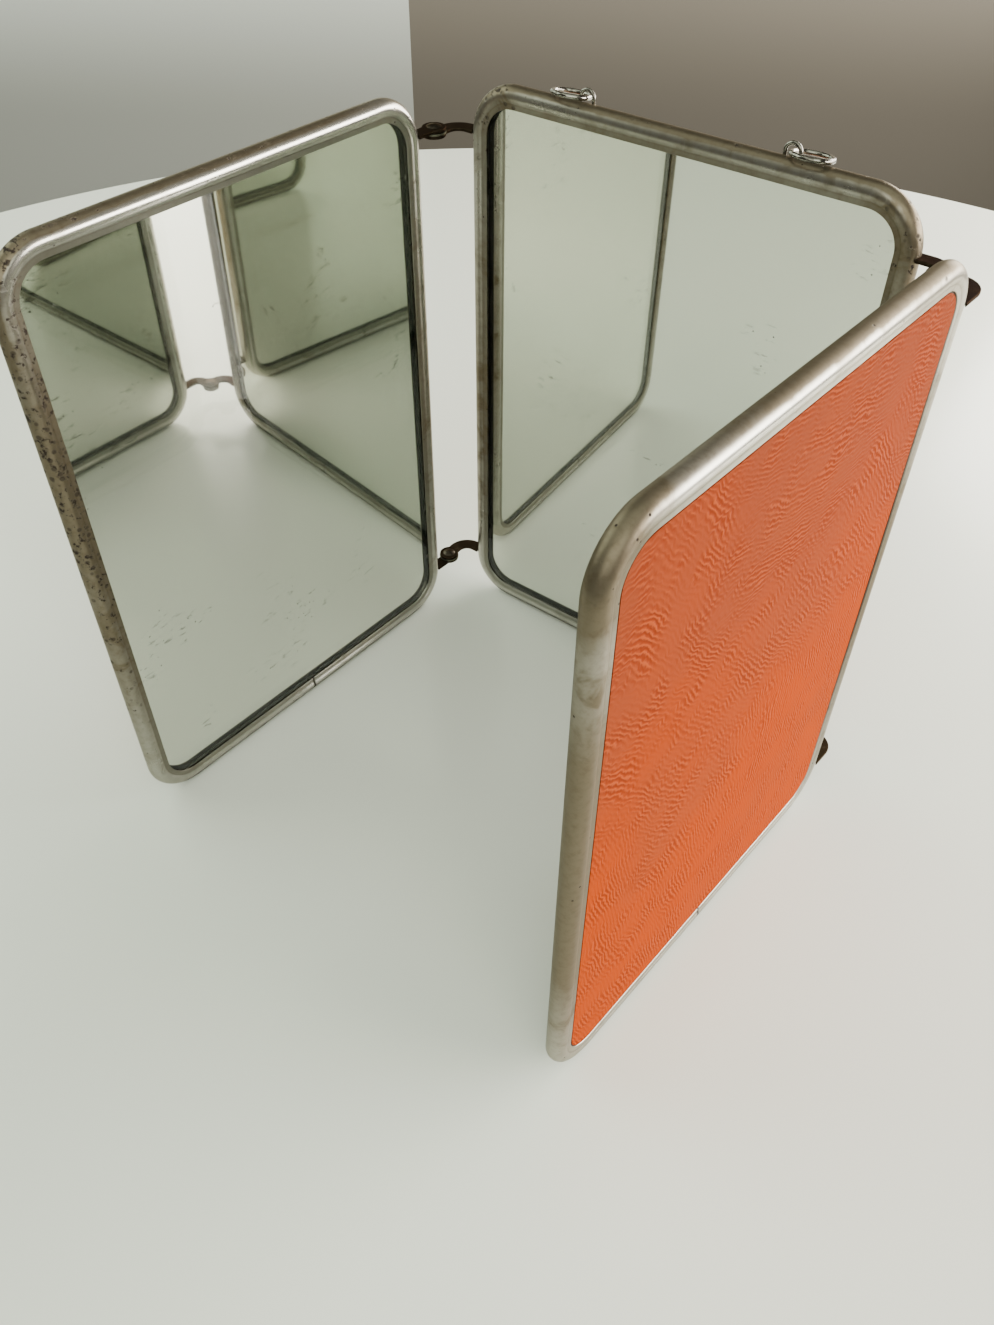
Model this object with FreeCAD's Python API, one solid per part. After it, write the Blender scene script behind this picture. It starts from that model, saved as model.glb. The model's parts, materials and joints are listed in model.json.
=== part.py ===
"""Folding dressing-table mirror of three framed glasses, hinged with riveted swan-neck arms.

Millimetres. Z is up and the centre glass faces -Y. The origin lies on the centre panel's
bottom edge, half way along it and half way through its thickness.
"""
import FreeCAD
import Part
import math
import os
from collections import namedtuple
from FreeCAD import Vector

# ---- Panels: three alike
panel_width = 130.0
panel_height = 180.0
corner_radius = 14.5

# ---- Channel: a strip of sheet rolled to an outer bead and a lip on each side
channel_depth = 5.6
sheet = 0.5
shoulder_radius = 2.0
lip_reach = 5.7
lip_drop = 0.35
seam_width = 0.25
centre_seam_offset = 6.0
tongue_length = 24.0
tongue_half_angle = 45.0

# ---- What the channel grips, from the front: glass, silvering, card; then the cover
glass_thick = 2.8
silver_thick = 0.1
cover_thick = 0.35
cover_gap = 0.4
edge_room = 0.3

# ---- Hinges: two flat arms on a rivet, with a washer between their eyes
hinge_height = 13.5
arm_width = 4.4
arm_thick = 1.0
arm_edge_radius = 0.3
bend_radius = 5.2
right_wing_bend_radius = 3.7
right_wing_arm_behind = 0.8
eye_radius = 3.4
tang_width = 2.4
tang_head_depth = 0.8
tang_head_spread = 0.5
slot_play = 0.05
rivet_radius = 1.2
pin_play = 0.05
face_play = 0.05
dome_radius = 2.2
dome_rise = 0.6
washer_radius = 3.5
washer_thick = 0.5

# Pivots: how far each lies outside the edge of the centre panel and of its wing
left_centre_reach = 7.2
left_wing_reach = 7.4
right_centre_reach = 7.6
right_wing_reach = 8.0
right_pivot_forward = 8.0
# Free space between the centre and the left wing when shut, and between the two shut wings
shut_gap = 3.8
fold_gap = 0.4
# Angle between each wing and the centre panel as the mirror stands
left_open_angle = 93.5
right_open_angle = 86.0

# ---- Hangers on the centre panel's top edge
hanger_offset = 29.0
hanger_back = 1.0
staple_wire = 1.0
staple_span = 4.0
staple_height = 3.4
staple_head_radius = 0.75
staple_head_thick = 0.5
ring_wire = 1.3
ring_outer = 11.2
ring_lift = 0.3
ring_lean = 12.0

X_AXIS = Vector(1, 0, 0)
Y_AXIS = Vector(0, 1, 0)
Z_AXIS = Vector(0, 0, 1)
ORIGIN = Vector(0, 0, 0)


def wall_inside(height):
    """Depth of the outer wall's inner face from a panel's side, at a height above its bottom edge.

    Below the corner's radius the corner has begun to draw the wall in.
    """
    below_straight = max(corner_radius - height, 0)
    return corner_radius - math.sqrt((corner_radius - sheet) ** 2 - below_straight ** 2)


# ---- Worked out
bead_wall = channel_depth / 2 - shoulder_radius
lip_outer = channel_depth / 2 - lip_drop
lip_inner = lip_outer - sheet
card_thick = 2 * lip_inner - glass_thick - silver_thick
wing_arm_low = hinge_height - face_play - arm_thick
centre_arm_low = hinge_height + washer_thick
fill_inset = wall_inside(wing_arm_low - tang_head_spread) + tang_head_depth + edge_room
cover_inset = lip_reach + cover_gap
left_pivot_forward = channel_depth + shut_gap
right_wing_offset = left_pivot_forward + channel_depth + fold_gap - right_pivot_forward

# A side's wing_offset is how far the opened-flat wing's middle lies behind its pivot, and
# wing_arm_behind how far its arm's middle lies behind that again
Side = namedtuple(
    "Side",
    "outward pivot centre_reach wing_reach wing_offset wing_bend wing_arm_behind open_angle")
sides = {
    "left": Side(
        outward=-1,
        pivot=Vector(-panel_width / 2 - left_centre_reach, -left_pivot_forward, 0),
        centre_reach=left_centre_reach,
        wing_reach=left_wing_reach,
        wing_offset=0,
        wing_bend=0,
        wing_arm_behind=0,
        open_angle=left_open_angle,
    ),
    "right": Side(
        outward=1,
        pivot=Vector(panel_width / 2 + right_centre_reach, -right_pivot_forward, 0),
        centre_reach=right_centre_reach,
        wing_reach=right_wing_reach,
        wing_offset=right_wing_offset,
        wing_bend=right_wing_bend_radius,
        wing_arm_behind=right_wing_arm_behind,
        open_angle=right_open_angle,
    ),
}


# ---------------------------------------------------------------- drawing helpers
# A plane function turns two drawing coordinates into a Vector.

def line(start, end):
    return Part.makeLine(start, end)


def polar(centre, radius, degrees, plane):
    angle = math.radians(degrees)
    return plane(centre[0] + radius * math.cos(angle), centre[1] + radius * math.sin(angle))


def circle_arc(centre, radius, start, end, plane):
    points = [polar(centre, radius, degrees, plane) for degrees in (start, (start + end) / 2, end)]
    return Part.Arc(*points).toShape()


def closed_wire(edges):
    return Part.Wire(Part.__sortEdges__(edges))


def rounded_rectangle(half_width, low, high, radius, plane):
    corners = [
        (half_width - radius, high - radius),
        (radius - half_width, high - radius),
        (radius - half_width, low + radius),
        (half_width - radius, low + radius),
    ]
    arcs = [
        circle_arc(centre, radius, 90 * quarter, 90 * quarter + 90, plane)
        for quarter, centre in enumerate(corners)
    ]
    straights = [
        line(one.Vertexes[-1].Point, other.Vertexes[0].Point)
        for one, other in zip(arcs, arcs[1:] + arcs[:1])
    ]
    return closed_wire(arcs + straights)


def box_between(low, high):
    size = [b - a for a, b in zip(low, high)]
    return Part.makeBox(*size, Vector(*low))


# ---------------------------------------------------------------- panels

def section_plane(side):
    """Plane of the channel's section in the bottom run, for its front (1) or its back (-1)."""
    def plane(inward, forward):
        return Vector(0, -side * forward, inward)
    return plane


def channel_section():
    """Bead, crease and lip on both sides, as one closed strip of sheet."""
    bead = (shoulder_radius, bead_wall)
    inner_radius = shoulder_radius - sheet
    crease = math.degrees(math.asin((lip_outer - bead_wall) / shoulder_radius))
    inner_crease = math.degrees(math.asin((lip_inner - bead_wall) / inner_radius))
    lip_middle = (lip_outer + lip_inner) / 2
    lip_end = lip_reach - sheet / 2
    edges = []
    for side in (1, -1):
        plane = section_plane(side)
        edges.append(circle_arc(bead, shoulder_radius, 180, crease, plane))
        edges.append(circle_arc(bead, inner_radius, 180, inner_crease, plane))
        edges.append(line(polar(bead, shoulder_radius, crease, plane), plane(lip_end, lip_outer)))
        edges.append(circle_arc((lip_end, lip_middle), sheet / 2, 90, -90, plane))
        edges.append(line(plane(lip_end, lip_inner), polar(bead, inner_radius, inner_crease, plane)))
    for inward in (0, sheet):
        edges.append(line(Vector(0, bead_wall, inward), Vector(0, -bead_wall, inward)))
    return Part.Face(closed_wire(edges))


def run_round(section):
    """Carry a section round the panel: a quarter is made and mirrored to the other three."""
    straight_x = panel_width / 2 - corner_radius
    straight_z = panel_height / 2 - corner_radius
    corner = Vector(straight_x, 0, corner_radius)
    at_corner = section.translated(Vector(straight_x, 0, 0))
    bottom = section.extrude(Vector(straight_x, 0, 0))
    bend = at_corner.revolve(corner, -Y_AXIS, 90)
    upright = at_corner.rotated(corner, -Y_AXIS, 90).extrude(Vector(0, 0, straight_z))
    quarter = bottom.fuse([bend, upright])
    half = quarter.fuse(quarter.mirror(ORIGIN, X_AXIS))
    return half.fuse(upside_down(half)).removeSplitter()


def upside_down(shape):
    """Mirrored in the panels' middle height."""
    return shape.mirror(Vector(0, 0, panel_height / 2), Z_AXIS)


def rounded_sheet(inset, back, front):
    """A flat sheet with the panel's outline drawn in by inset, from depth back to front."""
    def plane(x, z):
        return Vector(x, -back, z)
    outline = rounded_rectangle(
        panel_width / 2 - inset, inset, panel_height - inset, corner_radius - inset, plane)
    return Part.Face(outline).extrude(Vector(0, back - front, 0))


def seam_tongue(seam_x):
    """Strip soldered inside the channel across the butted ends."""
    bead = (shoulder_radius, bead_wall)
    outer_radius = shoulder_radius - sheet
    inner_radius = outer_radius - sheet
    lean = 180 - tongue_half_angle
    edges = []
    for side in (1, -1):
        plane = section_plane(side)
        edges.append(circle_arc(bead, outer_radius, 180, lean, plane))
        edges.append(circle_arc(bead, inner_radius, 180, lean, plane))
        edges.append(line(polar(bead, outer_radius, lean, plane), polar(bead, inner_radius, lean, plane)))
    for inward in (sheet, 2 * sheet):
        edges.append(line(Vector(0, bead_wall, inward), Vector(0, -bead_wall, inward)))
    section = Part.Face(closed_wire(edges)).translated(Vector(seam_x - tongue_length / 2, 0, 0))
    return section.extrude(Vector(tongue_length, 0, 0))


def panel(name, seam_x):
    """One framed mirror, standing on the origin's height with its middle at x = 0."""
    seam = box_between(
        (seam_x - seam_width / 2, -channel_depth / 2, 0),
        (seam_x + seam_width / 2, channel_depth / 2, lip_reach))
    glass_back = lip_inner - glass_thick
    card_front = glass_back - silver_thick
    card_back = card_front - card_thick
    return {
        f"{name}_frame": run_round(channel_section()).cut(seam),
        f"{name}_glass": rounded_sheet(fill_inset, glass_back, lip_inner),
        f"{name}_silvering": rounded_sheet(fill_inset, card_front, glass_back),
        f"{name}_backing_card": rounded_sheet(fill_inset, card_back, card_front),
        f"{name}_back_cover": rounded_sheet(cover_inset, card_back - cover_thick, card_back),
        f"{name}_seam_tongue": seam_tongue(seam_x),
    }


# ---------------------------------------------------------------- hinges

def arm_path(end, bend):
    """From an arm's inner end to its eye's middle: straight, or with a quarter bend and a neck."""
    if bend == 0:
        return Part.Wire([line(end, ORIGIN)])

    def plane(x, y):
        return Vector(x, y, 0)

    quarter = circle_arc((bend, end.y - bend), bend, 90, 180, plane)
    run = line(end, quarter.Vertexes[0].Point)
    neck = line(quarter.Vertexes[-1].Point, ORIGIN)
    return Part.Wire([run, quarter, neck])


def hinge_arm(reach, back_offset, bend, behind, bore_radius, low):
    """An arm with its bored eye at the origin and its tang's head inside the wall.

    The wall's outer face lies at x = reach and its middle at y = back_offset; the arm's strip
    lies behind that middle. What the frame's metal takes away from it is cut later.
    """
    wall_face = reach + wall_inside(low - tang_head_spread)
    head_end = wall_face + tang_head_depth
    end = Vector(head_end, back_offset + behind, 0)

    def plane(across, up):
        return end + Vector(0, across, up)

    section = rounded_rectangle(arm_width / 2, 0, arm_thick, arm_edge_radius, plane)
    strip = arm_path(end, bend).makePipeShell([section], True, False)
    head = box_between(
        (wall_face - sheet / 2, back_offset - tang_width / 2, -tang_head_spread),
        (head_end, back_offset + tang_width / 2, arm_thick + tang_head_spread))
    eye = Part.makeCylinder(eye_radius, arm_thick)
    eye = eye.makeFillet(arm_edge_radius, [edge for edge in eye.Edges if edge.isClosed()])
    bore = Part.makeCylinder(bore_radius, arm_thick)
    return strip.fuse([eye, head]).cut(bore).removeSplitter().translated(Vector(0, 0, low))


def arm_slot(reach, back_offset, low):
    """The slot that an arm's tang needs through the frame's outer wall."""
    half = tang_width / 2 + slot_play
    return box_between(
        (reach - slot_play, back_offset - half, low - slot_play),
        (reach + wall_inside(low) + slot_play, back_offset + half, low + arm_thick + slot_play))


def domed_rivet(low, high):
    """Shank with a low dome at each end; low and high are the faces that the domes grip."""
    def plane(radius, height):
        return Vector(radius, 0, height)
    top = high + dome_rise
    bottom = low - dome_rise
    chord = (dome_radius ** 2 + dome_rise ** 2) / (2 * dome_rise)
    rim = math.degrees(math.acos(dome_radius / chord))
    edges = [
        circle_arc((0, top - chord), chord, 90, rim, plane),
        line(plane(dome_radius, high), plane(rivet_radius, high)),
        line(plane(rivet_radius, high), plane(rivet_radius, low)),
        line(plane(rivet_radius, low), plane(dome_radius, low)),
        circle_arc((0, bottom + chord), chord, -90, -rim, plane),
        line(plane(0, bottom), plane(0, top)),
    ]
    return Part.Face(closed_wire(edges)).revolve(ORIGIN, Z_AXIS, 360)


def hinge(side):
    """Pieces and slots of a side's lower hinge, with the wing opened flat."""
    def placed(shape, direction):
        """A shape drawn towards +X, pointed the given way and set at the pivot."""
        if direction < 0:
            shape = shape.mirror(ORIGIN, X_AXIS)
        return shape.translated(side.pivot)

    washer_place = Vector(0, 0, hinge_height)
    washer = Part.makeCylinder(washer_radius, washer_thick, washer_place)
    washer = washer.cut(Part.makeCylinder(rivet_radius, washer_thick, washer_place))
    centre_wall = (side.centre_reach, -side.pivot.y)
    wing_wall = (side.wing_reach, side.wing_offset)
    centre_arm = hinge_arm(*centre_wall, bend_radius, 0, rivet_radius, centre_arm_low)
    wing_arm = hinge_arm(
        *wing_wall, side.wing_bend, side.wing_arm_behind, rivet_radius + pin_play, wing_arm_low)
    return {
        "centre_arm": placed(centre_arm, -side.outward),
        "centre_slot": placed(arm_slot(*centre_wall, centre_arm_low), -side.outward),
        "wing_arm": placed(wing_arm, side.outward),
        "wing_slot": placed(arm_slot(*wing_wall, wing_arm_low), side.outward),
        "washer": placed(washer, side.outward),
        "rivet": placed(domed_rivet(wing_arm_low - face_play, centre_arm_low + arm_thick), side.outward),
    }


# ---------------------------------------------------------------- hangers

def hanger_staple(x):
    """Wire arch with its legs through the top wall and spread into heads inside."""
    wire = staple_wire / 2
    radius = staple_span / 2
    spring = panel_height + staple_height - wire - radius
    foot = panel_height - sheet - staple_head_thick
    crown = Part.makeTorus(radius, wire, Vector(x, hanger_back, spring), Y_AXIS)
    above = box_between(
        (x - staple_span, hanger_back - staple_wire, spring),
        (x + staple_span, hanger_back + staple_wire, spring + staple_span))
    staple = crown.common(above)
    for leg_x in (x - radius, x + radius):
        place = Vector(leg_x, hanger_back, foot)
        staple = staple.fuse(Part.makeCylinder(wire, spring - foot, place))
        staple = staple.fuse(Part.makeCylinder(staple_head_radius, staple_head_thick, place))
    return staple.removeSplitter()


def hanger_ring(x, outward):
    """Closed ring through the staple, lying outwards along the frame's top and leaning back."""
    wire = ring_wire / 2
    radius = ring_outer / 2 - wire
    centre = Vector(x + outward * radius, hanger_back, panel_height + ring_lift + wire)
    lean = math.radians(ring_lean)
    return Part.makeTorus(radius, wire, centre, Vector(0, math.sin(lean), math.cos(lean)))


# ---------------------------------------------------------------- assembly

def fit_arm(frame, arm, slot):
    """The frame with the arm's slot, and the arm coped where it meets the frame."""
    frame = frame.cut(slot)
    return frame, arm.cut(frame)


def assemble():
    """Every node, with the wings standing at their open angles."""
    nodes = panel("centre", centre_seam_offset)
    for name, side in sides.items():
        shift = side.pivot + Vector(side.outward * (side.wing_reach + panel_width / 2), side.wing_offset, 0)
        wing = {node: piece.translated(shift) for node, piece in panel(name, 0).items()}
        for level in ("lower", "upper"):
            pieces = hinge(side)
            if level == "upper":
                pieces = {key: upside_down(piece) for key, piece in pieces.items()}
            label = f"{name}_{level}_hinge"
            nodes["centre_frame"], nodes[f"{label}_centre_arm"] = fit_arm(
                nodes["centre_frame"], pieces["centre_arm"], pieces["centre_slot"])
            wing[f"{name}_frame"], wing[f"{label}_wing_arm"] = fit_arm(
                wing[f"{name}_frame"], pieces["wing_arm"], pieces["wing_slot"])
            nodes[f"{label}_washer"] = pieces["washer"]
            nodes[f"{label}_rivet"] = pieces["rivet"]
        turn = side.outward * (side.open_angle - 180)
        for node, piece in wing.items():
            nodes[node] = piece.rotated(side.pivot, Z_AXIS, turn)
        hanger_x = side.outward * hanger_offset
        staple = hanger_staple(hanger_x)
        nodes["centre_frame"] = nodes["centre_frame"].cut(staple)
        nodes[f"{name}_hanger_staple"] = staple
        nodes[f"{name}_hanger_ring"] = hanger_ring(hanger_x, side.outward)
    return nodes


os.makedirs("parts", exist_ok=True)
for node, shape in assemble().items():
    print(node, len(shape.Solids), shape.isValid(), round(shape.Volume, 1))
    shape.exportStep(f"parts/{node}.step")
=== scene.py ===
"""Looks of the folding dressing-table mirror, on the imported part's frame. Metres."""
import bmesh
import bpy
import json
import math
from mathutils import Matrix, Vector


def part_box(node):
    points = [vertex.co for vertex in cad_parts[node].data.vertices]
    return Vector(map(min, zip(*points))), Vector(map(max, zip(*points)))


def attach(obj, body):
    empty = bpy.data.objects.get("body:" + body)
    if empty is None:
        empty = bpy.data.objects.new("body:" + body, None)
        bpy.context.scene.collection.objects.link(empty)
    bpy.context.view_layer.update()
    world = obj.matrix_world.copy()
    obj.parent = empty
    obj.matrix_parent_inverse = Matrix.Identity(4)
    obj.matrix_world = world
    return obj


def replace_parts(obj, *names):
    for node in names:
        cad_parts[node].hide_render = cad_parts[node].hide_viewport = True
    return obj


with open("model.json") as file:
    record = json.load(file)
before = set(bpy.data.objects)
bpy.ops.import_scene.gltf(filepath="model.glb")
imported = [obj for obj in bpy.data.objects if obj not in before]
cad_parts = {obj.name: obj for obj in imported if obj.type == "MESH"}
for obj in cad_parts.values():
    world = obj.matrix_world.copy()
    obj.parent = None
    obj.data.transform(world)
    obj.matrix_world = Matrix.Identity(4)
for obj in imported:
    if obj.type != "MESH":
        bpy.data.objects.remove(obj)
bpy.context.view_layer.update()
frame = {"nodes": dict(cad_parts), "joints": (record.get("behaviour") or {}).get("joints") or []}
nodes = frame["nodes"]
joints = {joint["name"]: joint for joint in frame["joints"]}
MM = 0.001

# ---- The frames' rolled channel: the part's own sizes, with its bead drawn fully round
panel_width = 130 * MM
panel_height = 180 * MM
corner_radius = 14.5 * MM
channel_depth = 5.6 * MM
sheet = 0.5 * MM
bead_radius = channel_depth / 2
lip_reach = 5.7 * MM
lip_drop = 0.35 * MM
seam_width = 0.25 * MM
centre_seam_offset = 6.0 * MM

lip_outer = channel_depth / 2 - lip_drop
lip_middle = lip_outer - sheet / 2
lip_end = lip_reach - sheet / 2
crease_up = bead_radius + math.sqrt(bead_radius ** 2 - lip_outer ** 2)

# The outline's length from the middle of one side to the middle of the top, and all the way round
quarter = (panel_height + panel_width) / 2 - (2 - math.pi / 2) * corner_radius
once_round = 4 * quarter

# Steps in the rounds, and the gap under which points are joined
bead_steps = 28
inner_bead_steps = 22
lip_steps = 6
corner_steps = 20
plate_corner_steps = 12
weld = 0.01 * MM

# Each wing as it lies when it is opened flat: how far its edge is from its pivot, and how far back
wings = {
    "left": {"outward": -1, "reach": 7.4 * MM, "back": 0.0},
    "right": {"outward": 1, "reach": 8.0 * MM, "back": 7.4 * MM},
}


# ---------------------------------------------------------------- mixing materials

# A Mix node has sockets for every kind of value: these are the ones that it uses for colours
share_socket = 0
first_colour_socket = 6
second_colour_socket = 7
mixed_colour_socket = 2


class Value:
    """A number or colour that varies over a surface, with the sums that patterns are written in."""

    def __init__(self, paint, socket):
        self.paint = paint
        self.socket = socket

    def sum(self, operation, first, second=0.0):
        return self.paint.add("Math", {"operation": operation}, {0: first, 1: second})

    def __add__(self, other):
        return self.sum("ADD", self, other)

    def __radd__(self, other):
        return self.sum("ADD", other, self)

    def __sub__(self, other):
        return self.sum("SUBTRACT", self, other)

    def __rsub__(self, other):
        return self.sum("SUBTRACT", other, self)

    def __mul__(self, other):
        return self.sum("MULTIPLY", self, other)

    def __rmul__(self, other):
        return self.sum("MULTIPLY", other, self)

    def __abs__(self):
        return self.sum("ABSOLUTE", self)

    def sine(self):
        return self.sum("SINE", self)

    def at_most(self, other):
        return self.sum("MINIMUM", self, other)

    def at_least(self, other):
        return self.sum("MAXIMUM", self, other)

    def rising(self, low, high):
        """0 below low and 1 above high, with a soft step between."""
        ends = {"From Min": low, "From Max": high}
        return self.paint.add(
            "MapRange", {"interpolation_type": "SMOOTHSTEP"}, {"Value": self, **ends})

    def near(self, middle, width):
        """1 at the middle, falling softly to 0 at a width to either side."""
        return 1 - abs(self - middle).rising(0, width)


class Paint:
    """A material being mixed, and the shader that its patterns end in."""

    def __init__(self, name):
        self.material = bpy.data.materials.new(name)
        self.material.use_nodes = True
        self.tree = self.material.node_tree
        self.shader = self.tree.nodes["Principled BSDF"]

    def put(self, socket, value):
        if isinstance(value, Value):
            self.tree.links.new(value.socket, socket)
        elif isinstance(value, tuple) and len(value) == 3 and socket.type == "RGBA":
            socket.default_value = (*value, 1)
        else:
            socket.default_value = value

    def add(self, kind, settings, inputs, output=0):
        """A node of a kind, with its settings made first and then its sockets; gives one output."""
        node = self.tree.nodes.new("ShaderNode" + kind)
        for name, setting in settings.items():
            setattr(node, name, setting)
        for name, value in inputs.items():
            self.put(node.inputs[name], value)
        return Value(self, node.outputs[output])

    def finish(self, **inputs):
        """Sets the shader's own sockets, named with underscores for spaces."""
        for name, value in inputs.items():
            self.put(self.shader.inputs[name.replace("_", " ")], value)
        return self.material

    def place(self, turn=0.0, stretch=(1, 1, 1)):
        """Object coordinates, turned back about the vertical for a wing's piece and stretched."""
        here = self.add("TexCoord", {}, {}, "Object")
        return self.add("Mapping", {}, {"Vector": here, "Rotation": (0, 0, turn), "Scale": stretch})

    def along(self, place, axis):
        return self.add("SeparateXYZ", {}, {"Vector": place}, "XYZ".index(axis))

    def combined(self, x, y, z):
        return self.add("CombineXYZ", {}, {"X": x, "Y": y, "Z": z})

    def attribute(self, name):
        return self.add("Attribute", {"attribute_name": name}, {}, "Fac")

    def noise(self, place, size, detail=3.0, roughness=0.55, warp=0.0):
        """Cloudy noise from 0 to 1 whose lumps are about size across, in metres."""
        return self.add("TexNoise", {}, {
            "Vector": place, "Scale": 1 / size, "Detail": detail,
            "Roughness": roughness, "Distortion": warp})

    def cells(self, place, size):
        """Distance from the nearest of many scattered points about size apart, in sizes."""
        return self.add("TexVoronoi", {}, {"Vector": place, "Scale": 1 / size}, "Distance")

    def mix(self, share, first, second):
        """The first colour, with a share of the second."""
        inputs = {share_socket: share, first_colour_socket: first, second_colour_socket: second}
        return self.add("Mix", {"data_type": "RGBA"}, inputs, mixed_colour_socket)

    def relief(self, height, depth):
        """Bumps from a height of 0 to 1 that stand a depth proud."""
        return self.add("Bump", {}, {"Height": height, "Distance": depth})


bright_nickel = (0.56, 0.55, 0.505)
drawn_nickel = (0.46, 0.44, 0.39)
# Painted dark reflection on the mirror's lip
painted_lip_shade = (0.165, 0.165, 0.14)
tarnish = (0.150, 0.123, 0.086)
# Brown of dirt, also used as painted shade in the crease
brown_dirt_and_crease_shade = (0.080, 0.057, 0.033)
# Black of rust, also used for painted shadows
rust_and_shadow_black = (0.028, 0.020, 0.016)
# Near black, painted as shade inside the channel
painted_inside_shade = (0.020, 0.022, 0.016)


def worn_nickel(name, seam_run, roughness, stretches):
    """Rolled nickel plate gone dull: brown in worn stretches and pitted black, with painted shade:
    browner in the creases from dirt and painted shade, dark on the mirror's lip, a shadow line by
    the hinges, a contact shadow at the foot and near black inside the channel.

    A stretch is its middle and its half length along the run in mm, how dull it is, how pitted it
    is, and which face it leaves clean: 1 for the mirror's, -1 for the back's, 0 for neither.
    """
    paint = Paint(name)
    here = paint.place()
    inset = paint.attribute("inset")
    run = paint.attribute("run")
    depth = paint.attribute("depth")
    dull = 0.0
    rash = 0.0
    for middle, half, dullness, pitting, side in stretches:
        within = run.near(middle * MM, half * MM)
        if side:
            within = within * (depth * side).rising(-2.65 * MM, -1.5 * MM)
        dull = within * dullness + dull
        rash = within * pitting + rash

    # Lines drawn along the strip, clouds of dullness, and a fine mottle within them
    drawn = paint.noise(paint.combined(run * 0.05, inset, 0.0), 0.5 * MM, 2, 0.6)
    broad = paint.noise(here, 9 * MM, 4, 0.6, 0.6)
    mottle = paint.noise(here, 1.8 * MM, 5, 0.65).rising(0.40, 0.75)
    dull = (dull * (0.75 + broad * 0.5) + broad.rising(0.50, 0.75) * 0.30 + 0.12).at_most(1)

    # Painted shade: brown in the crease, mixed with real dirt; a painted dark reflection on the
    # mirror's lip; a painted shadow line at the lip's edge on the back by the hinges; and a painted
    # contact shadow at the foot that stands on the table
    crease = inset.near(crease_up, 0.40 * MM)
    on_lips = inset.rising(crease_up - 0.1 * MM, crease_up + 0.2 * MM)
    # The mirror's lip, painted darker as a reflection of the dark side it faces
    front_lip = on_lips * (depth * -1).rising(0, 1 * MM)
    # A painted shadow line at the lip's edge on the back by the hinges
    lip_edges = inset.rising(4.65 * MM, 4.95 * MM)
    painted_gap_shadow = lip_edges * depth.rising(0, 1 * MM) * run.near(2 * quarter, 90 * MM)
    # A painted contact shadow at the foot, where the bead stands on the table
    foot = 1 - paint.along(here, "Z").rising(1.6 * MM, 3.2 * MM)

    # Rust, in ragged pits and round spots where the rash is, and in single specks anywhere
    spread = paint.noise(here, 4.5 * MM, 3, 0.6)
    rash = (spread + rash * 0.45).rising(0.72, 0.92)
    ragged = paint.noise(here, 1.5 * MM, 6, 0.7)
    pits = (ragged - (1 - rash) * 0.35).rising(0.54, 0.62)
    spots = (1 - paint.cells(here, 2.6 * MM).rising(0.17, 0.32)) * rash
    specks = 1 - paint.cells(here, 4.6 * MM).rising(0.035, 0.075)

    # The butted ends, which lie at the run's start and its end, and the channel's unseen inside,
    # painted near black as shade
    seam = run.near(seam_run, 0.7 * MM) + run.near(seam_run + once_round, 0.7 * MM)
    between_lips = 1 - abs(depth).rising(lip_middle - 0.2 * MM, lip_middle)
    inside = inset.rising(crease_up - 0.5 * MM, crease_up) * between_lips

    # Rust and dark seams, together with the painted shadow by the hinges and the painted contact
    # shadow at the foot
    rust_seam_and_shadow = (pits + spots * 0.7 + specks + painted_gap_shadow * 0.9 + seam + foot * 0.75).at_most(1)
    # Real dirt in the tarnish's mottle, and painted shade in the crease
    dirt_and_crease_shade = (crease * 0.35 + dull * mottle * 0.40).at_most(1)
    colour = paint.mix(drawn * 0.10, bright_nickel, drawn_nickel)
    # Painted dark reflection on the mirror's lip
    colour = paint.mix(front_lip * 0.75, colour, painted_lip_shade)
    colour = paint.mix(dull, colour, tarnish)
    colour = paint.mix(dirt_and_crease_shade, colour, brown_dirt_and_crease_shade)
    colour = paint.mix(rust_seam_and_shadow, colour, rust_and_shadow_black)
    # Painted shade inside the channel
    colour = paint.mix(inside, colour, painted_inside_shade)
    height = 0.6 - rust_seam_and_shadow * 0.6 + drawn * 0.006 + mottle * 0.06 * dull
    return paint.finish(
        Base_Color=colour,
        Specular_IOR_Level=0.25,
        Specular_Tint=(0.72, 0.69, 0.63),
        Metallic=(1 - rust_seam_and_shadow * 0.8 - dull * 0.25).at_least(0.05),
        Roughness=roughness + drawn * 0.03 + dull * 0.17 + front_lip * 0.08 + rust_seam_and_shadow * 0.4,
        Normal=paint.relief(height, 0.12 * MM))


def tilted(paint, lean):
    """A silver coat askew in its frame: the slope of a height that rises with the plate."""
    up = paint.along(paint.place(), "Z")
    return paint.relief(up * math.tan(math.radians(lean)), 1.0)


pale_silver = (0.78, 0.79, 0.72)
green_silver = (0.74, 0.755, 0.685)
bare_spot = (0.05, 0.05, 0.04)


def silvered(name, lean):
    """A mirror's back seen through its glass: greenish, with a few specks and faint scuffs."""
    paint = Paint(name)
    here = paint.place()
    clouds = paint.noise(here, 30 * MM, 3, 0.5)
    field = paint.noise(here, 24 * MM, 1, 0.5).rising(0.58, 0.68)
    specks = (1 - paint.cells(here, 2.4 * MM).rising(0.05, 0.13)) * field
    drawn_out = paint.place(stretch=(0.3, 0.3, 1))
    scuffs = paint.noise(drawn_out, 1.4 * MM, 4, 0.6).rising(0.57, 0.70) * field
    colour = paint.mix(clouds * 0.5, pale_silver, green_silver)
    colour = paint.mix((specks + scuffs * 0.45).at_most(1), colour, bare_spot)
    return paint.finish(
        Base_Color=colour,
        Metallic=1.0,
        Roughness=0.010 + clouds * 0.012 + specks * 0.4,
        Normal=tilted(paint, lean))


def clear_glass():
    paint = Paint("clear_glass")
    here = paint.place()
    smears = paint.noise(here, 18 * MM, 4, 0.6, 1.2).rising(0.55, 0.85)
    return paint.finish(
        Base_Color=(0.985, 0.993, 0.98),
        Transmission_Weight=1.0,
        IOR=1.5,
        Roughness=0.004 + smears * 0.02)


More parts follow.
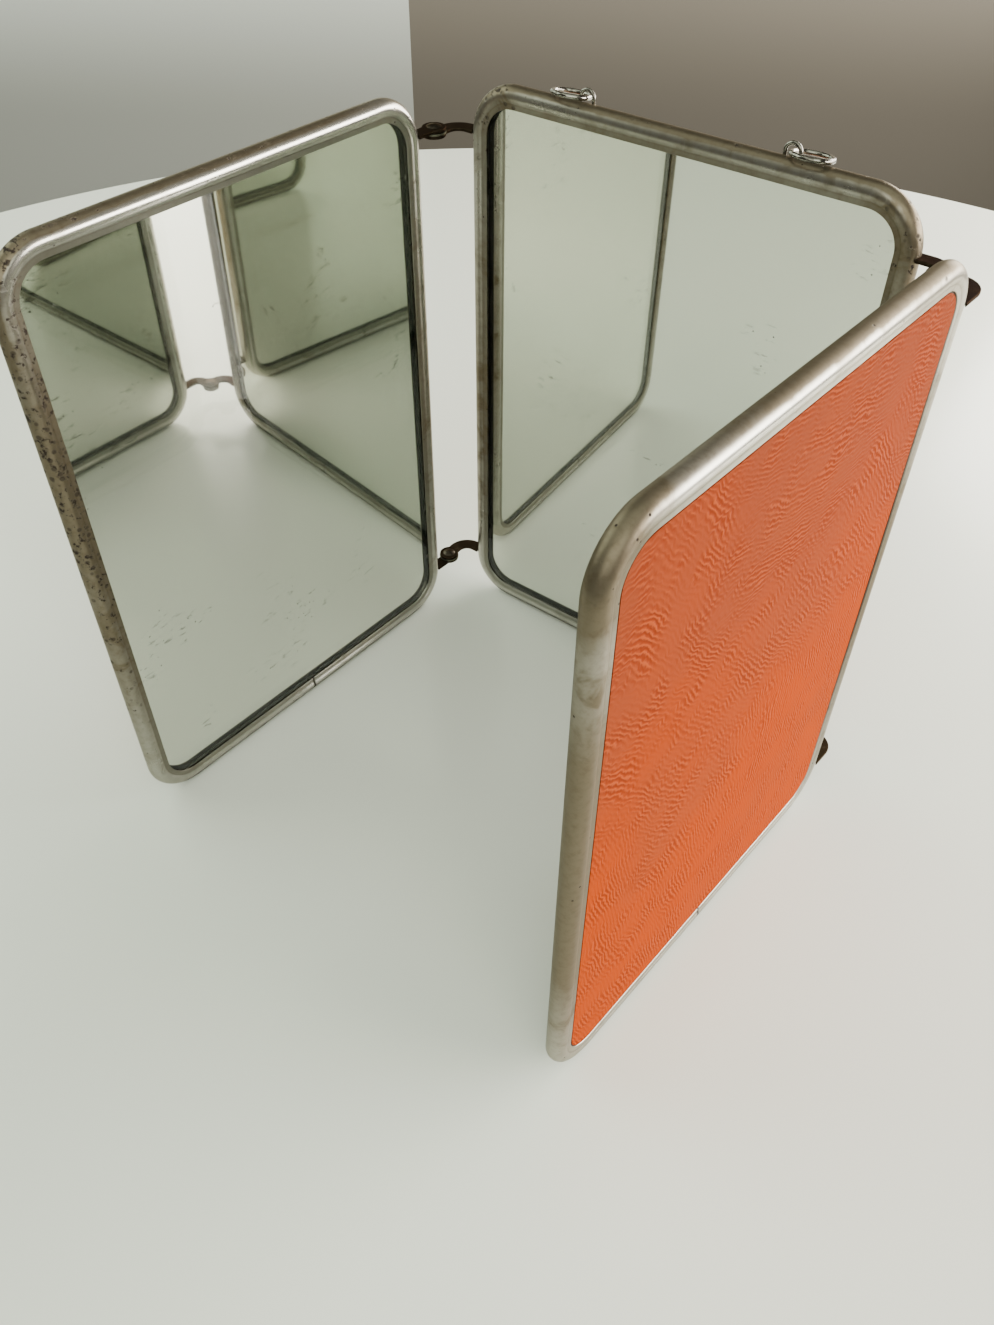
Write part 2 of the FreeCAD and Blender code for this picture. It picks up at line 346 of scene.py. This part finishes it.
def ripples(across, up, degrees, pitch, sway):
    """Fine ridges, from 0 to 1, that run at an angle above the level and sway."""
    turn = math.radians(degrees)
    over = up * math.cos(turn) - across * math.sin(turn) + sway
    return (over * (2 * math.pi / pitch)).sine() * 0.5 + 0.5


fresh_orange = (0.370, 0.046, 0.002)
# Paler pink orange, a painted sheen towards the top
painted_sheen_orange = (0.230, 0.048, 0.020)
stained_orange = (0.30, 0.054, 0.014)
# Dark red, painted as shade in the ridges' valleys
painted_valley_shade = (0.175, 0.020, 0.004)
# Light orange, painted as a highlight on the ridges
painted_ridge_highlight = (0.46, 0.082, 0.020)
grimy_red = (0.20, 0.024, 0.002)


def watered_paper(name, turn):
    """Orange satin paper with the fine broken ridges of water silk, on one panel's back, with
    painted shade in the ridges' valleys, a painted highlight on the ridges and a painted sheen
    growing towards the top.
    """
    paint = Paint(name)
    flat = paint.place(turn)
    across = paint.along(flat, "X")
    up = paint.along(flat, "Z")
    plane = paint.combined(across, up, 0.0)
    broad = paint.noise(plane, 48 * MM, 2, 0.5)
    wave = paint.noise(plane, 14 * MM, 2, 0.45)
    ripple = paint.noise(plane, 4.6 * MM, 2, 0.5)
    crinkle = paint.noise(plane, 1.9 * MM, 2, 0.5)
    sway = (broad * 10 + wave * 3.4 + ripple * 2.0 + crinkle * 1.3) * MM

    # The ridges' run changes its angle over the panel
    height = ripples(across, up, 70, 1.2 * MM, sway)
    hinge_side = ripples(across, up, 87, 1.3 * MM, sway)
    slanting = ripples(across, up, 46, 1.25 * MM, sway)
    level = ripples(across, up, 14, 1.2 * MM, sway)
    drift = (broad - 0.5) * 0.16
    near_hinge = 1 - (across + up * 0.4 + drift).rising(62 * MM, 92 * MM)
    for other, share in (
        (hinge_side, near_hinge),
        (slanting, (up + drift).rising(74 * MM, 104 * MM)),
        (level, (up + drift).rising(128 * MM, 152 * MM)),
    ):
        height = height * (1 - share) + other * share
    strong = paint.noise(plane, 11 * MM, 3, 0.6).rising(0.36, 0.64) * 0.75 + 0.25
    height = (height - 0.5) * strong + 0.5

    stain = paint.noise(plane, 48 * MM, 3, 0.55).rising(0.40, 0.72)
    # A painted sheen that grows towards the top
    sheen_toward_top = (up + drift).rising(40 * MM, 175 * MM)
    grime = paint.noise(plane, 10 * MM, 4, 0.6).rising(0.60, 0.82)
    colour = paint.mix(sheen_toward_top, fresh_orange, painted_sheen_orange)
    colour = paint.mix(stain * 0.4, colour, stained_orange)
    # Painted shade in the valleys, then a painted highlight on the ridges
    colour = paint.mix((1 - height) * 0.70 * strong, colour, painted_valley_shade)
    colour = paint.mix(height.rising(0.55, 0.95) * 0.40 * strong, colour, painted_ridge_highlight)
    colour = paint.mix(grime * 0.25, colour, grimy_red)
    return paint.finish(
        Base_Color=colour,
        Specular_IOR_Level=0.003,
        Roughness=0.50 - height * 0.14 + grime * 0.1,
        Normal=paint.relief(height, 0.12 * MM))


def dark_steel(name, colour, rubbed, roughness):
    """Tarnished brown metal with paler rubbed spots."""
    paint = Paint(name)
    here = paint.place()
    clouds = paint.noise(here, 3.5 * MM, 4, 0.6)
    fine = paint.noise(here, 0.5 * MM, 3, 0.6)
    worn = (clouds * 0.7 + fine * 0.3).rising(0.48, 0.72)
    return paint.finish(
        Base_Color=paint.mix(worn * 0.6, colour, rubbed),
        Specular_Tint=(0.40, 0.35, 0.29),
        Metallic=0.9,
        Roughness=roughness + clouds * 0.18,
        Normal=paint.relief(fine * 0.5 + clouds * 0.5, 0.05 * MM))


def bright_wire():
    paint = Paint("bright_wire")
    here = paint.place()
    clouds = paint.noise(here, 2.5 * MM, 4, 0.6).rising(0.42, 0.68)
    return paint.finish(
        Base_Color=paint.mix(clouds * 0.75, (0.27, 0.255, 0.225), (0.035, 0.028, 0.020)),
        Metallic=1.0,
        Roughness=0.13 + clouds * 0.25)


def grey_card():
    paint = Paint("grey_card")
    fibres = paint.noise(paint.place(stretch=(1, 1, 0.3)), 0.8 * MM, 4, 0.7)
    return paint.finish(
        # The card is painted near black, as painted shadow in the gap beside the back cover
        Base_Color=paint.mix(fibres, (0.055, 0.038, 0.028), (0.12, 0.09, 0.07)),
        Roughness=0.9,
        Normal=paint.relief(fibres, 0.05 * MM))


def tinned_strip():
    paint = Paint("tinned_strip")
    clouds = paint.noise(paint.place(), 1.5 * MM, 3, 0.6)
    return paint.finish(
        Base_Color=paint.mix(clouds, (0.20, 0.19, 0.17), (0.42, 0.41, 0.38)),
        Metallic=0.9,
        Roughness=0.45 + clouds * 0.2)


# ---------------------------------------------------------------- placing and building

def wing_turn(name):
    """The angle in radians that a wing has been turned through from lying flat to standing open."""
    open_angle = joints[f"{name}_fold"]["range_deg"][1]
    return math.radians(wings[name]["outward"] * (open_angle - 180))


def panel_place(name):
    """Matrix that takes a panel drawn about x = 0 to where it stands."""
    if name == "centre":
        return Matrix.Identity(4)
    wing = wings[name]
    pivot = Vector((*joints[f"{name}_fold"]["pos_m"][:2], 0))
    flat = Vector((wing["outward"] * (wing["reach"] + panel_width / 2), wing["back"], 0))
    opened = Matrix.Rotation(wing_turn(name), 4, "Z")
    return Matrix.Translation(pivot) @ opened @ Matrix.Translation(flat)


def body_of(name):
    return name if name == "centre" else f"{name}_wing"


def made_piece(name, mesh, body, materials, place, smooth_under=None):
    """Turns a bmesh into an object that rides on a body, with its place in its mesh.

    Where smooth_under is given, faces that meet at less than that many degrees are shaded smooth.
    """
    data = bpy.data.meshes.new(name)
    mesh.to_mesh(data)
    mesh.free()
    for material in materials:
        data.materials.append(material)
    if smooth_under is not None:
        data.shade_smooth()
        data.set_sharp_from_angle(angle=math.radians(smooth_under))
    data.transform(place)
    piece = bpy.data.objects.new(name, data)
    bpy.context.scene.collection.objects.link(piece)
    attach(piece, body)
    return piece


def points_of(geometry):
    """The vertices of a list of vertices or edges, each of them once."""
    found = [point for item in geometry for point in getattr(item, "verts", [item])]
    return list(dict.fromkeys(found))


def pulled(mesh, geometry, shift):
    """Extrudes vertices or edges and moves the new ones; gives the new ones."""
    if isinstance(geometry[0], bmesh.types.BMVert):
        made = bmesh.ops.extrude_vert_indiv(mesh, verts=geometry)
        new = made["verts"]
    else:
        made = bmesh.ops.extrude_edge_only(mesh, edges=geometry)
        new = [item for item in made["geom"] if isinstance(item, bmesh.types.BMEdge)]
    bmesh.ops.translate(mesh, verts=points_of(new), vec=shift)
    return new


def swung(mesh, geometry, centre, axis, degrees, steps):
    """Spins vertices or edges through an arc; gives the last ones."""
    ends = [point for point in points_of(geometry) if point not in geometry]
    made = bmesh.ops.spin(
        mesh, geom=list(geometry) + ends, cent=centre, axis=axis,
        angle=math.radians(degrees), steps=steps, use_duplicate=False)
    kind = type(geometry[0])
    return [item for item in made["geom_last"] if isinstance(item, kind)]


def outline_place(point):
    """How far round the panel's outline a point lies, and how far in from it.

    The run starts at the middle of the right side and goes up. The point is on the panel as it is
    drawn about x = 0.
    """
    half_width = panel_width / 2 - corner_radius
    half_height = panel_height / 2 - corner_radius
    across = abs(point.x) - half_width
    up = abs(point.z - panel_height / 2) - half_height
    bend = corner_radius * math.pi / 2
    if across > 0 and up > 0:
        inset = corner_radius - math.hypot(across, up)
        run = half_height + corner_radius * math.atan2(up, across)
    elif across > up:
        inset = corner_radius - across
        run = half_height + up
    else:
        inset = corner_radius - up
        run = half_height + bend - across
    above = point.z > panel_height / 2
    if point.x < 0:
        run = 2 * quarter - run if above else 2 * quarter + run
    elif not above:
        run = -run
    return run, inset


def channel_section(mesh, start_x):
    """The rolled strip's closed section in the bottom run: its outer face, then its inner one."""
    inner_radius = bead_radius - sheet
    lip_inner = lip_outer - sheet
    crease = math.degrees(math.asin(lip_outer / bead_radius))
    inner_crease = math.degrees(math.asin(lip_inner / inner_radius))
    inner_crease_up = bead_radius + inner_radius * math.cos(math.radians(inner_crease))
    middle = Vector((start_x, 0, bead_radius))
    x_axis = Vector((1, 0, 0))
    first = mesh.verts.new((start_x, -lip_outer, lip_end))
    end = pulled(mesh, [first], Vector((0, 0, crease_up - lip_end)))
    end = swung(mesh, end, middle, x_axis, 2 * (180 - crease), bead_steps)
    end = pulled(mesh, end, Vector((0, 0, lip_end - crease_up)))
    end = swung(mesh, end, Vector((start_x, lip_middle, lip_end)), x_axis, 180, lip_steps)
    end = pulled(mesh, end, Vector((0, 0, inner_crease_up - lip_end)))
    end = swung(mesh, end, middle, x_axis, 2 * (inner_crease - 180), inner_bead_steps)
    end = pulled(mesh, end, Vector((0, 0, lip_end - inner_crease_up)))
    swung(mesh, end, Vector((start_x, -lip_middle, lip_end)), x_axis, 180, lip_steps)
    bmesh.ops.remove_doubles(mesh, verts=mesh.verts, dist=weld)


def channel_frame(name, seam_x, material):
    """One panel's frame: the section run round from one side of the butt seam to the other."""
    mesh = bmesh.new()
    channel_section(mesh, seam_x + seam_width / 2)
    first_ring = mesh.edges[:]
    side_x = panel_width / 2 - corner_radius
    side_z = panel_height - 2 * corner_radius
    y_axis = Vector((0, 1, 0))
    ring = pulled(mesh, first_ring, Vector((side_x - seam_x - seam_width / 2, 0, 0)))
    for corner, straight in (
        ((side_x, corner_radius), (0, side_z)),
        ((side_x, corner_radius + side_z), (-2 * side_x, 0)),
        ((-side_x, corner_radius + side_z), (0, -side_z)),
        ((-side_x, corner_radius), (side_x + seam_x - seam_width / 2, 0)),
    ):
        ring = swung(mesh, ring, Vector((corner[0], 0, corner[1])), y_axis, -90, corner_steps)
        ring = pulled(mesh, ring, Vector((straight[0], 0, straight[1])))
    bmesh.ops.contextual_create(mesh, geom=first_ring)
    bmesh.ops.contextual_create(mesh, geom=ring)
    bmesh.ops.recalc_face_normals(mesh, faces=mesh.faces)
    run = mesh.verts.layers.float.new("run")
    inset = mesh.verts.layers.float.new("inset")
    depth = mesh.verts.layers.float.new("depth")
    for point in mesh.verts:
        point[run], point[inset] = outline_place(point.co)
        point[depth] = point.co.y
    for point in points_of(ring):
        if point[run] < 0:
            point[run] += once_round
    piece = made_piece(
        f"{name}_channel", mesh, body_of(name), [material], panel_place(name), smooth_under=32)
    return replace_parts(piece, f"{name}_frame")


def mirror_plate(name, glass, silver):
    """One panel's plate of glass, silvered on its back."""
    low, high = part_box("centre_glass")
    size = high - low
    mesh = bmesh.new()
    bmesh.ops.create_cube(mesh, size=1.0)
    bmesh.ops.scale(mesh, verts=mesh.verts, vec=size)
    bmesh.ops.translate(mesh, verts=mesh.verts, vec=(low + high) / 2)
    through = [
        edge for edge in mesh.edges
        if abs(edge.verts[0].co.y - edge.verts[1].co.y) > size.y / 2]
    bmesh.ops.bevel(
        mesh, geom=through, offset=corner_radius - low.z, segments=plate_corner_steps,
        profile=0.5, affect="EDGES", material=-1)
    mesh.faces.ensure_lookup_table()
    silver_slot = 1
    for face in mesh.faces:
        faces_back = face.normal.y > 0.9
        if faces_back:
            face.material_index = silver_slot
    piece = made_piece(
        f"{name}_mirror", mesh, body_of(name), [glass, silver], panel_place(name))
    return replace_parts(piece, f"{name}_glass", f"{name}_silvering")


# ---------------------------------------------------------------- the pieces

glass = clear_glass()
card = grey_card()
tin = tinned_strip()
arm_steel = dark_steel("dark_hinge_steel", (0.026, 0.018, 0.011), (0.078, 0.058, 0.038), 0.46)
washer_metal = dark_steel("pale_washer_metal", (0.14, 0.135, 0.10), (0.30, 0.30, 0.24), 0.32)
rivet_steel = dark_steel("rivet_head", (0.05, 0.04, 0.03), (0.24, 0.22, 0.18), 0.26)
wire = bright_wire()

# For each panel: how far its seam is from the middle, how many degrees its silver leans, its
# metal's roughness, and the metal's worn stretches
panels = {
    "centre": (centre_seam_offset, 0.0, 0.17, (
        (148, 110, 1.00, 0.60, 1),
        (148, 110, 0.50, 0.05, 0),
        (210, 26, 0.40, 0.95, 0),
        (298, 110, 0.75, 0.35, 0),
        (80, 30, 0.50, 0.75, 0),
        (0, 110, 0.95, 0.15, 0))),
    "left": (0.0, 0.85, 0.17, (
        (205, 34, 1.20, 1.00, 1),
        (245, 70, 0.60, 1.20, 0),
        (310, 110, 0.80, 0.80, 0),
        (148, 100, 1.30, 0.70, 1),
        (0, 100, 0.70, 0.10, 0),
        (-112, 60, 0.15, 0.25, 0),
        (410, 60, 0.15, 0.25, 0))),
    "right": (0.0, 0.0, 0.24, (
        (148, 100, 0.95, 0.0, -1),
        (85, 24, 0.95, 0.45, 0),
        (196, 34, 0.45, 0.25, 0),
        (0, 120, 1.20, 0.20, 0),
        (298, 110, 0.95, 0.10, 1))),
}
for name, (seam_x, lean, roughness, stretches) in panels.items():
    nickel = worn_nickel(f"worn_nickel_{name}", seam_x - quarter, roughness, stretches)
    silver = silvered(f"silvered_back_{name}", lean)
    channel_frame(name, seam_x, nickel)
    mirror_plate(name, glass, silver)
    turned = 0.0 if name == "centre" else -wing_turn(name)
    nodes[f"{name}_frame"].data.materials[0] = nickel
    nodes[f"{name}_glass"].data.materials[0] = glass
    nodes[f"{name}_silvering"].data.materials[0] = silver
    nodes[f"{name}_backing_card"].data.materials[0] = card
    nodes[f"{name}_seam_tongue"].data.materials[0] = tin
    nodes[f"{name}_back_cover"].data.materials[0] = watered_paper(f"watered_paper_{name}", turned)

fittings = {
    "arm": arm_steel,
    "washer": washer_metal,
    "rivet": rivet_steel,
    "staple": wire,
    "ring": wire,
}
for node_name, node in nodes.items():
    kind = node_name.rsplit("_", 1)[-1]
    if kind in fittings:
        node.data.materials[0] = fittings[kind]


# ---------------------------------------------------------------- the table, the light and the view

camera_place = Vector((134.98, -254.96, 282.01)) * MM
camera_yaw = math.radians(36.918)
camera_pitch = math.radians(-45.446)
camera_roll = math.radians(-0.245)
camera_lens = 30.12

table_middle = Vector((-15, -46, 0)) * MM
table_radius = 497.5 * MM
table_thick = 24 * MM
table_rim = 3 * MM
table_rim_steps = 4
table_steps = 180

# The walls stand square to the view, and grow paler from wall_dark up to wall_pale, a painted shade
# that darkens them towards the table; they glow by wall_glow as painted light. Their ends are in
# degrees left of straight back, as the camera sees them
wall_facing = 36.9
pale_wall_end = 80
room_corner = 41.1
shaded_wall_end = 6
wall_distance = 1.35
wall_low = -0.9
wall_high = 0.62
wall_dark = -0.20
wall_pale = 0.10
wall_glow = 0.40


def staged(name, mesh, material):
    """Turns a bmesh into a plain piece of the stage; gives its mesh."""
    data = bpy.data.meshes.new(name)
    mesh.to_mesh(data)
    mesh.free()
    data.materials.append(material)
    piece = bpy.data.objects.new(name, data)
    bpy.context.scene.collection.objects.link(piece)
    return data


def round_table():
    mesh = bmesh.new()
    top = bmesh.ops.create_circle(
        mesh, cap_ends=True, radius=table_radius, segments=table_steps)
    bmesh.ops.translate(mesh, verts=top["verts"], vec=table_middle)
    made = bmesh.ops.extrude_face_region(mesh, geom=mesh.faces[:])
    lower = [item for item in made["geom"] if isinstance(item, bmesh.types.BMVert)]
    bmesh.ops.translate(mesh, verts=lower, vec=(0, 0, -table_thick))
    bmesh.ops.recalc_face_normals(mesh, faces=mesh.faces)
    rims = [
        edge for edge in mesh.edges
        if abs(edge.verts[0].co.z - edge.verts[1].co.z) < table_thick / 2]
    bmesh.ops.bevel(
        mesh, geom=rims, offset=table_rim, segments=table_rim_steps,
        profile=0.5, affect="EDGES", material=-1)
    enamel = Paint("table").finish(Base_Color=(0.80, 0.82, 0.75), Roughness=0.22)
    staged("table", mesh, enamel).shade_smooth()


def wall(name, left, right, lower, upper):
    """An upright wall across the view, from its lower colour to its upper one: the darker foot is
    painted shade, and the wall glows with its own colour as painted light.
    """
    mesh = bmesh.new()
    foot = Vector((camera_place.x, camera_place.y, wall_low))
    ends = []
    for turn in (left, right):
        towards = Vector((-math.sin(math.radians(turn)), math.cos(math.radians(turn)), 0))
        across = math.cos(math.radians(turn - wall_facing))
        ends.append(mesh.verts.new(foot + towards * wall_distance / across))
    base = mesh.edges.new(ends)
    pulled(mesh, [base], Vector((0, 0, wall_high - wall_low)))
    paint = Paint(name)
    # Painted shade, darker towards the foot; the emission is painted light
    height = paint.along(paint.place(), "Z").rising(wall_dark, wall_pale)
    colour = paint.mix(height, lower, upper)
    staged(name, mesh, paint.finish(
        Base_Color=colour, Roughness=0.9, Emission_Color=colour, Emission_Strength=wall_glow))


lit_middle = Vector((0, 0, 80)) * MM


def soft_light(name, direction, distance, width, height, power, colour):
    """A rectangular light, facing the object from a direction and distance."""
    light = bpy.data.lights.new(name, "AREA")
    light.shape = "RECTANGLE"
    light.size = width
    light.size_y = height
    light.energy = power
    light.color = colour
    lamp = bpy.data.objects.new(name, light)
    outward = Vector(direction).normalized()
    lamp.location = lit_middle + outward * distance
    lamp.rotation_euler = outward.to_track_quat("Z", "Y").to_euler()
    bpy.context.scene.collection.objects.link(lamp)


round_table()
wall("pale_wall", pale_wall_end, room_corner, (0.25, 0.255, 0.225), (0.80, 0.85, 0.78))
wall("shaded_wall", room_corner, shaded_wall_end, (0.080, 0.070, 0.055), (0.225, 0.20, 0.160))
world = bpy.data.worlds.new("room")
bpy.context.scene.world = world
world.use_nodes = True
room_shade = (0.085, 0.078, 0.064, 1)
world.node_tree.nodes["Background"].inputs["Color"].default_value = room_shade
soft_light(
    "window", direction=(0.61, 0.754, 0.25), distance=0.92,
    width=1.9, height=0.5, power=52, colour=(1.0, 0.96, 0.88))
soft_light(
    "ceiling", direction=(0.1, -0.2, 1), distance=1.6,
    width=2.0, height=1.6, power=12.5, colour=(0.95, 1.05, 0.88))
soft_light(
    "left_bounce", direction=(-0.85, -0.2, 0.55), distance=1.5,
    width=1.4, height=1.0, power=14, colour=(0.92, 1.05, 0.88))
soft_light(
    "front_bounce", direction=(0.5, -0.7, 0.6), distance=1.5,
    width=1.6, height=1.0, power=17, colour=(0.97, 1.02, 0.89))

optics = bpy.data.cameras.new("view")
optics.lens = camera_lens
camera = bpy.data.objects.new("view", optics)
camera.matrix_world = (
    Matrix.Translation(camera_place)
    @ Matrix.Rotation(camera_yaw, 4, "Z")
    @ Matrix.Rotation(camera_pitch, 4, "X")
    @ Matrix.Rotation(camera_roll, 4, "Y")
    @ Matrix.Rotation(math.radians(90), 4, "X"))
bpy.context.scene.collection.objects.link(camera)
bpy.context.scene.camera = camera
